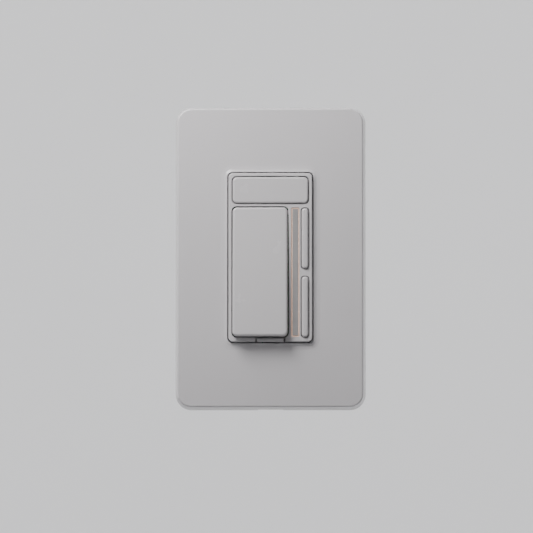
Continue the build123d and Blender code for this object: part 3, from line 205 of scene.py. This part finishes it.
def metal(name, colour, roughness, streak=(1.0, 1.0, 14.0), depth=0.004 * MM, tarnish=0.9):
    """Rolled or plated metal: fine streaks along one direction and cloudy tarnish."""
    s = Shader(name, colour, roughness, metallic=1.0)
    streaks = s.noise(1.4 * MM, 5.0, s.stretched(streak))
    clouds = s.noise(6 * MM, 4.0)
    s.colour_from(s.blend(s.remap(clouds, 0.0, 1.0), tinted(colour, tarnish), colour))
    s.roughness_from(s.remap(streaks, roughness - 0.08, roughness + 0.10))
    s.bump((streaks, 0.5, depth))
    return s.material


GLASS_CLOTH_SCALE = 900.0  # scale of the wave texture that stands for the cloth


def circuit_board(name):
    """Green solder mask over copper areas, with the faint weave of the glass cloth."""
    s = Shader(name, BOARD_COLOUR, 0.35)
    copper = s.remap(s.cells(3.2 * MM, "DISTANCE_TO_EDGE").outputs["Distance"], 0.0, 1.0, 0.06, 0.09)
    s.colour_from(s.blend(copper, tinted(BOARD_COLOUR, 0.7), tinted(BOARD_COLOUR, 1.6)))
    weave = s.tree.nodes.new("ShaderNodeTexWave")
    weave.inputs["Scale"].default_value = GLASS_CLOTH_SCALE
    weave.bands_direction = "X"
    s.link(s.coordinates, weave.inputs["Vector"])
    s.bump((copper, 0.5, 0.03 * MM), (weave.outputs["Fac"], 0.2, 0.01 * MM))
    return s.material


ACRYLIC_IOR = 1.49


def translucent_plastic(name, colour, roughness, transmission, glow=None, glow_strength=0.0):
    """Light-carrying acrylic, slightly uneven inside, with an optional glow."""
    s = Shader(name, colour, roughness)
    clouds = s.remap(s.noise(4 * MM, 4.0), 0.0, 1.0)
    s.colour_from(s.blend(clouds, tinted(colour, 0.93), tinted(colour, 1.06)))
    s.roughness_from(s.remap(s.noise(1.5 * MM, 4.0), roughness - 0.05, roughness + 0.08))
    s.set("Transmission Weight", transmission)
    s.set("IOR", ACRYLIC_IOR)
    if glow:
        s.set("Emission Color", (*glow, 1.0))
        s.set("Emission Strength", glow_strength)
    s.bump((s.noise(0.6 * MM, 3.0), 0.3, 0.006 * MM))
    return s.material


def fibre_sheet(name, colour):
    """Vulcanised fibre: short dark hairs pressed flat."""
    s = Shader(name, colour, 0.75)
    hairs = s.noise(0.7 * MM, 8.0, s.stretched((1.0, 1.0, 5.0)))
    s.colour_from(s.blend(s.remap(hairs, 0.0, 1.0), tinted(colour, 0.6), tinted(colour, 1.3)))
    s.bump((hairs, 0.7, 0.05 * MM))
    return s.material


# ---------------------------------------------------------------- one material for each slot of the record

materials = {
    "cover_plastic": moulded_plastic("cover_plastic", COVER_COLOUR, 0.25, coat=0.25),
    "front_plastic": moulded_plastic("front_plastic", FRONT_COLOUR, 0.26, coat=0.25),
    "adapter_plastic": matte_plastic("adapter_plastic", ADAPTER_COLOUR, 0.5),
    "clear_guide": translucent_plastic(
        "clear_guide", CLEAR_GUIDE_COLOUR, 0.22, 0.10, glow=CLEAR_GUIDE_GLOW, glow_strength=0.16
    ),
    "grey_diffuser": translucent_plastic(
        "grey_diffuser", DIFFUSER_COLOUR, 0.38, 0.05, glow=DIFFUSER_GLOW, glow_strength=0.12
    ),
    "lamp_body": translucent_plastic("lamp_body", LAMP_COLOUR, 0.35, 0.1, glow=LAMP_GLOW, glow_strength=1.0),
    "yoke_metal": metal("yoke_metal", (0.60, 0.60, 0.61), 0.36),
    "zinc_steel": metal("zinc_steel", (0.55, 0.55, 0.53), 0.30, tarnish=0.8),
    "plate_screw_steel": matte_plastic("plate_screw_steel", ADAPTER_COLOUR, 0.45),
    "spring_steel": metal("spring_steel", (0.42, 0.42, 0.43), 0.28),
    "ground_green": metal("ground_green", (0.02, 0.24, 0.07), 0.34, tarnish=0.7),
    "terminal_brass": metal("terminal_brass", (0.62, 0.42, 0.14), 0.26, tarnish=0.8),
    "contact_copper": metal("contact_copper", (0.60, 0.26, 0.12), 0.30, tarnish=0.7),
    "fibre": fibre_sheet("fibre", (0.24, 0.09, 0.03)),
    "black_housing": matte_plastic("black_housing", HOUSING_COLOUR, 0.5),
    "circuit_board": circuit_board("circuit_board"),
    "insulating_film": translucent_plastic("insulating_film", (0.60, 0.40, 0.10), 0.25, 0.3),
    "black_component": matte_plastic("black_component", (0.015, 0.015, 0.017), 0.45),
    "switch_black": matte_plastic("switch_black", (0.02, 0.02, 0.02), 0.5),
    "plunger_plastic": matte_plastic("plunger_plastic", (0.52, 0.50, 0.44), 0.45),
    "shield_can": metal("shield_can", (0.50, 0.50, 0.50), 0.33),
    "pin_gold": metal("pin_gold", (0.70, 0.46, 0.14), 0.22),
    "ferrite_core": matte_plastic("ferrite_core", (0.55, 0.36, 0.03), 0.4),
    "enamelled_wire": metal("enamelled_wire", (0.42, 0.12, 0.03), 0.2),
    "film_capacitor": moulded_plastic("film_capacitor", (0.48, 0.32, 0.03), 0.3),
    "capacitor_sleeve": moulded_plastic("capacitor_sleeve", (0.01, 0.012, 0.03), 0.25),
    "fuse_body": moulded_plastic("fuse_body", (0.12, 0.03, 0.015), 0.35),
    "surge_blue": moulded_plastic("surge_blue", (0.02, 0.06, 0.25), 0.3),
    "transformer": fibre_sheet("transformer", (0.42, 0.36, 0.05)),
    "silicone_pad": matte_plastic("silicone_pad", (0.26, 0.27, 0.29), 0.7),
}

for part in frame["record"]["subparts"]:
    node = frame["nodes"][part["node"]]
    node.data.materials.clear()
    node.data.materials.append(materials[part["material_slot"]])


# ---------------------------------------------------------------- threads on the screws in view

THREAD_PITCH = 0.794 * MM  # 32 turns to the inch
THREAD_MAJOR, THREAD_MINOR = 1.75 * MM, 1.38 * MM
THREAD_PROFILE = (0.0, 0.45, 1.0, 1.0, 0.45, 0.0)  # depth of the ridge over one pitch
THREAD_STEPS = 28  # points in one turn
THREAD_RUNOUT = 0.6 * THREAD_PITCH  # over which a thread fades at each end
POINT_SHARE = 0.93  # radius of the rod's end, as a share of the thread's root
HEAD_OVERLAP = 0.05 * MM  # how far a head reaches into its thread
RING_MERGE, THREAD_MERGE = 0.005 * MM, 0.002 * MM  # points nearer than this become one
ON_CUT = 0.01 * MM  # how near the cut an edge of its rim lies
BOX_HEAD_RADIUS, BOX_NECK = 3.1 * MM, 1.1 * MM
ADAPTER_HEAD_RADIUS = 3.0 * MM
GROUND_HEAD_HEIGHT, GROUND_TAB_THICKNESS = 2.2 * MM, 1.6 * MM


def add_thread(mesh, start, direction, length):
    """Adds a closed threaded rod: rows of points climb a helix, so a row's end joins the row a pitch on."""
    across = direction.orthogonal().normalized()
    beside = direction.cross(across)
    rows_per_turn = len(THREAD_PROFILE)
    rows = math.ceil(length / THREAD_PITCH + 2) * rows_per_turn
    grid = []
    for row in range(-rows_per_turn, rows):
        ring = []
        for step in range(THREAD_STEPS):
            turn = step / THREAD_STEPS
            along = (row / rows_per_turn + turn) * THREAD_PITCH
            inset = min(along, length - along) / THREAD_RUNOUT
            ridge = THREAD_PROFILE[row % rows_per_turn] * max(0.0, min(1.0, inset))
            radius = THREAD_MINOR + (THREAD_MAJOR - THREAD_MINOR) * ridge
            if along >= length:
                radius = THREAD_MINOR * POINT_SHARE
            out = across * math.cos(math.tau * turn) + beside * math.sin(math.tau * turn)
            place = start + direction * max(0.0, min(length, along)) + out * radius
            ring.append(mesh.verts.new(place))
        grid.append(ring)
    for row in range(len(grid) - 1):
        for step in range(THREAD_STEPS - 1):
            lower, upper = grid[row], grid[row + 1]
            mesh.faces.new((lower[step], lower[step + 1], upper[step + 1], upper[step]))
        if row + 1 + rows_per_turn < len(grid):
            near, far = grid[row], grid[row + rows_per_turn]
            beyond, above = grid[row + rows_per_turn + 1], grid[row + 1]
            mesh.faces.new((near[-1], far[0], beyond[0], above[-1]))


def threaded_copy(node_name, slot, direction, bases, cut, end):
    """Replaces a screw node: its heads as they are, and threads from cut to end along direction."""
    node = frame["nodes"][node_name]
    mesh = bmesh.new()
    mesh.from_mesh(node.data)
    everything = mesh.verts[:] + mesh.edges[:] + mesh.faces[:]
    end_of_head = cut + HEAD_OVERLAP
    section = bmesh.ops.bisect_plane(
        mesh, geom=everything, plane_co=direction * end_of_head, plane_no=direction, clear_outer=True
    )
    ring = [item for item in section["geom_cut"] if isinstance(item, bmesh.types.BMVert)]
    bmesh.ops.remove_doubles(mesh, verts=ring, dist=RING_MERGE)
    rims = [
        edge
        for edge in mesh.edges
        if edge.is_boundary and all(abs(end.co.dot(direction) - end_of_head) < ON_CUT for end in edge.verts)
    ]
    bmesh.ops.holes_fill(mesh, edges=rims)
    for base in bases:
        rod = bmesh.new()
        add_thread(rod, base + direction * cut, direction, end - cut)
        bmesh.ops.remove_doubles(rod, verts=rod.verts, dist=THREAD_MERGE)
        open_rims = [edge for edge in rod.edges if edge.is_boundary]
        bmesh.ops.holes_fill(rod, edges=open_rims)
        bmesh.ops.recalc_face_normals(rod, faces=rod.faces)
        piece_data = bpy.data.meshes.new("rod")
        rod.to_mesh(piece_data)
        rod.free()
        mesh.from_mesh(piece_data)
        bpy.data.meshes.remove(piece_data)
    data = bpy.data.meshes.new(node_name + "_threaded")
    mesh.to_mesh(data)
    mesh.free()
    data.materials.append(materials[slot])
    piece = bpy.data.objects.new(node_name + "_threaded", data)
    bpy.context.scene.collection.objects.link(piece)
    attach(piece, "base")
    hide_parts(node_name)


INTO_WALL, TO_THE_RIGHT = Vector((0.0, 1.0, 0.0)), Vector((1.0, 0.0, 0.0))


def thread_screws():
    """The box's and the adapter's screws run into the wall, and the ground screw runs to the right."""
    low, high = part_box("box_screws")
    bases = [Vector((0.0, 0.0, z)) for z in (low[2] + BOX_HEAD_RADIUS, high[2] - BOX_HEAD_RADIUS)]
    threaded_copy("box_screws", "zinc_steel", INTO_WALL, bases, BOX_NECK, high[1])
    low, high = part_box("adapter_screws")
    bases = [Vector((0.0, 0.0, z)) for z in (low[2] + ADAPTER_HEAD_RADIUS, high[2] - ADAPTER_HEAD_RADIUS)]
    threaded_copy("adapter_screws", "plate_screw_steel", INTO_WALL, bases, 0.0, high[1])
    low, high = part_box("ground_screw")
    bases = [Vector((0.0, (low[1] + high[1]) / 2, (low[2] + high[2]) / 2))]
    behind_tab = low[0] + GROUND_HEAD_HEIGHT + GROUND_TAB_THICKNESS
    threaded_copy("ground_screw", "ground_green", TO_THE_RIGHT, bases, behind_tab, high[0])


thread_screws()


# ---------------------------------------------------------------- return spring under the paddle


def soften_spring():
    """Replaces the spring by a copy with a mesh of its own, in spring steel."""
    data = frame["nodes"]["paddle_spring"].data.copy()
    data.materials.clear()
    data.materials.append(materials["spring_steel"])
    piece = bpy.data.objects.new("paddle_return_spring", data)
    bpy.context.scene.collection.objects.link(piece)
    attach(piece, "base")
    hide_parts("paddle_spring")
    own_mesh(piece)


soften_spring()


# ---------------------------------------------------------------- stage, light and camera

OPENING_MIDDLE = Vector((0.0, 0.0, 0.0))
FACE = cad_box[0][1]  # the front of the model


def look_at(thing, target):
    """Turns a light or the camera towards a point."""
    thing.rotation_euler = (target - thing.location).to_track_quat("-Z", "Y").to_euler()


FLOOR_BELOW = 1350 * MM  # the model stands clear of the floor, as on a wall
STAGE_RADIUS, STAGE_BEND, STAGE_HEIGHT, STAGE_CORNERS = 3400 * MM, 700 * MM, 3400 * MM, 96
BEND_STEPS = 12


def make_stage():
    """Round pale floor that sweeps up into a wall all the way round, well clear of the model."""
    floor_z = cad_box[0][2] - FLOOR_BELOW
    flat_radius = STAGE_RADIUS - STAGE_BEND
    profile = [(0.0, floor_z), (flat_radius, floor_z)]
    for i in range(1, BEND_STEPS + 1):
        angle = math.radians(i * 90 / BEND_STEPS)
        rise = floor_z + STAGE_BEND - STAGE_BEND * math.cos(angle)
        profile.append((flat_radius + STAGE_BEND * math.sin(angle), rise))
    profile.append((STAGE_RADIUS, floor_z + STAGE_HEIGHT))
    mesh = bmesh.new()
    path = [mesh.verts.new((r, 0.0, z)) for r, z in profile]
    edges = [mesh.edges.new(pair) for pair in zip(path, path[1:])]
    bmesh.ops.spin(
        mesh,
        geom=path + edges,
        axis=(0, 0, 1),
        cent=(0, 0, 0),
        angle=math.tau,
        steps=STAGE_CORNERS,
        use_merge=True,
    )
    bmesh.ops.remove_doubles(mesh, verts=mesh.verts, dist=0.1 * MM)
    bmesh.ops.recalc_face_normals(mesh, faces=mesh.faces)
    for face in mesh.faces:
        face.smooth = True
    data = bpy.data.meshes.new("floor")
    mesh.to_mesh(data)
    mesh.free()
    floor = bpy.data.objects.new("floor", data)
    bpy.context.scene.collection.objects.link(floor)
    s = Shader("floor", BACKDROP_COLOUR, 0.8)
    s.colour_from(s.blend(s.remap(s.noise(0.4), 0.0, 1.0), tinted(BACKDROP_COLOUR, 0.98), BACKDROP_COLOUR))
    data.materials.append(s.material)


def add_area_light(name, location, target, side, power, colour=(1.0, 1.0, 1.0)):
    """Square lamp, side metres across and power watts strong, that faces the target."""
    data = bpy.data.lights.new(name, "AREA")
    data.shape = "RECTANGLE"
    data.size, data.size_y = side, side
    data.energy = power
    data.color = colour
    light = bpy.data.objects.new(name, data)
    light.location = location
    look_at(light, target)
    bpy.context.scene.collection.objects.link(light)


# each lamp's place, where it points, and its side in metres and power in watts
KEY_AT, KEY_SIDE, KEY_POWER = Vector((-0.14, -0.20, 0.24)), 0.19, 1.85
KEY_COLOUR = (1.0, 0.985, 0.99)
BACKDROP_LAMP_AT, BACKDROP_LAMP_TARGET = (1.6, 0.9, 1.2), (0.6, 3.4, 0.0)
BACKDROP_LAMP_SIDE, BACKDROP_LAMP_POWER = 1.2, 56.0
REAR_AT, REAR_SIDE, REAR_POWER = Vector((0.5, 0.9, 0.8)), 0.5, 4.5
OVERHEAD_AT, OVERHEAD_TARGET = Vector((0.0, 0.6, 2.0)), Vector((0.0, 0.6, 0.0))
OVERHEAD_SIDE, OVERHEAD_POWER = 1.6, 16.0
WORLD_COLOUR, WORLD_STRENGTH = (0.9, 0.93, 1.0, 1.0), 0.015
WORLD_SHADE = 0.84  # of the backdrop's colour, as the camera sees the world over the wall's top


def light_scene():
    """A soft box close by, up and to the left, and lamps on the backdrop and behind the model."""
    add_area_light("key", KEY_AT, OPENING_MIDDLE, KEY_SIDE, KEY_POWER, KEY_COLOUR)
    for name, side in (("backdrop_left", -1), ("backdrop_right", 1)):
        place, target = (Vector((side * x, y, z)) for x, y, z in (BACKDROP_LAMP_AT, BACKDROP_LAMP_TARGET))
        add_area_light(name, place, target, BACKDROP_LAMP_SIDE, BACKDROP_LAMP_POWER)
    add_area_light("rear", REAR_AT, OPENING_MIDDLE, REAR_SIDE, REAR_POWER)
    add_area_light("overhead", OVERHEAD_AT, OVERHEAD_TARGET, OVERHEAD_SIDE, OVERHEAD_POWER)
    world = bpy.data.worlds.new("studio")
    world.use_nodes = True
    tree = world.node_tree
    dim = tree.nodes["Background"]
    dim.inputs["Color"].default_value = WORLD_COLOUR
    dim.inputs["Strength"].default_value = WORLD_STRENGTH
    pale = tree.nodes.new("ShaderNodeBackground")
    pale.inputs["Color"].default_value = (*tinted(BACKDROP_COLOUR, WORLD_SHADE), 1.0)
    choice = tree.nodes.new("ShaderNodeMixShader")
    tree.links.new(tree.nodes.new("ShaderNodeLightPath").outputs["Is Camera Ray"], choice.inputs["Fac"])
    tree.links.new(dim.outputs["Background"], choice.inputs[1])
    tree.links.new(pale.outputs["Background"], choice.inputs[2])
    tree.links.new(choice.outputs["Shader"], tree.nodes["World Output"].inputs["Surface"])
    bpy.context.scene.world = world


# the camera stands this far off, to the right of and below the normal to the cover
CAMERA_DISTANCE = 2.2
CAMERA_RIGHT_DEG, CAMERA_BELOW_DEG = 0.8, 3.9
AIM = Vector((-1.45 * MM, FACE, -3.9 * MM))
VIEW_WIDTH = 208.2 * MM  # what the picture takes in at the front of the model
SENSOR_WIDTH = 36.0
CLIP_START, CLIP_END = 0.01, 20.0


def place_camera():
    data = bpy.data.cameras.new("camera")
    data.sensor_width = SENSOR_WIDTH
    data.lens = data.sensor_width * CAMERA_DISTANCE / VIEW_WIDTH
    data.clip_start, data.clip_end = CLIP_START, CLIP_END
    camera = bpy.data.objects.new("camera", data)
    right, below = math.radians(CAMERA_RIGHT_DEG), math.radians(CAMERA_BELOW_DEG)
    out = Vector((math.sin(right) * math.cos(below), -math.cos(right) * math.cos(below), -math.sin(below)))
    camera.location = AIM + out * CAMERA_DISTANCE
    look_at(camera, AIM)
    bpy.context.scene.collection.objects.link(camera)
    bpy.context.scene.camera = camera


make_stage()
light_scene()
place_camera()
